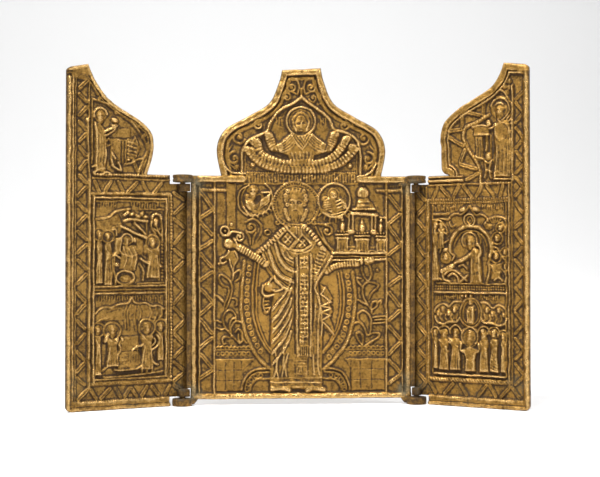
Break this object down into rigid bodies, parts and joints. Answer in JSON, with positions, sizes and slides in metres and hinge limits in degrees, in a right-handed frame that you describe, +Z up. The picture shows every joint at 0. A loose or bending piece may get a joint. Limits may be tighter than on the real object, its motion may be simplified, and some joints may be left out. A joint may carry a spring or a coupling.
{
  "type": "folding triptych altarpiece",
  "caption": "Small cast-brass folding triptych with an ogee-headed centre leaf and hinged half-ogee wings, in relief.",
  "frame": {"origin": "middle of the standing triptych's footprint, on the surface it stands on, with the wings swung forward as at rest", "axes": "+Z up, the relief of the centre leaf faces -Y, +X to the right as seen from the front"},
  "size_m": [0.1946, 0.0324, 0.1475],
  "materials": {
    "brass": "cast and worn, satin, with dark brown tarnish in the hollows"
  },
  "bodies": {
    "centre": {"centre_leaf": "brass"},
    "left_wing": {"left_wing": "brass"},
    "right_wing": {"right_wing": "brass"}
  },
  "joints": [
    {"name": "left_hinge", "type": "hinge", "parent": "centre", "child": "left_wing", "pos_m": [-0.04926, 0.01178, 0], "axis": [0, 0, 1], "range_deg": [-24, 155.5]},
    {"name": "right_hinge", "type": "hinge", "parent": "centre", "child": "right_wing", "pos_m": [0.05304, 0.01178, 0], "axis": [0, 0, -1], "range_deg": [-34, 145.5]}
  ]
}
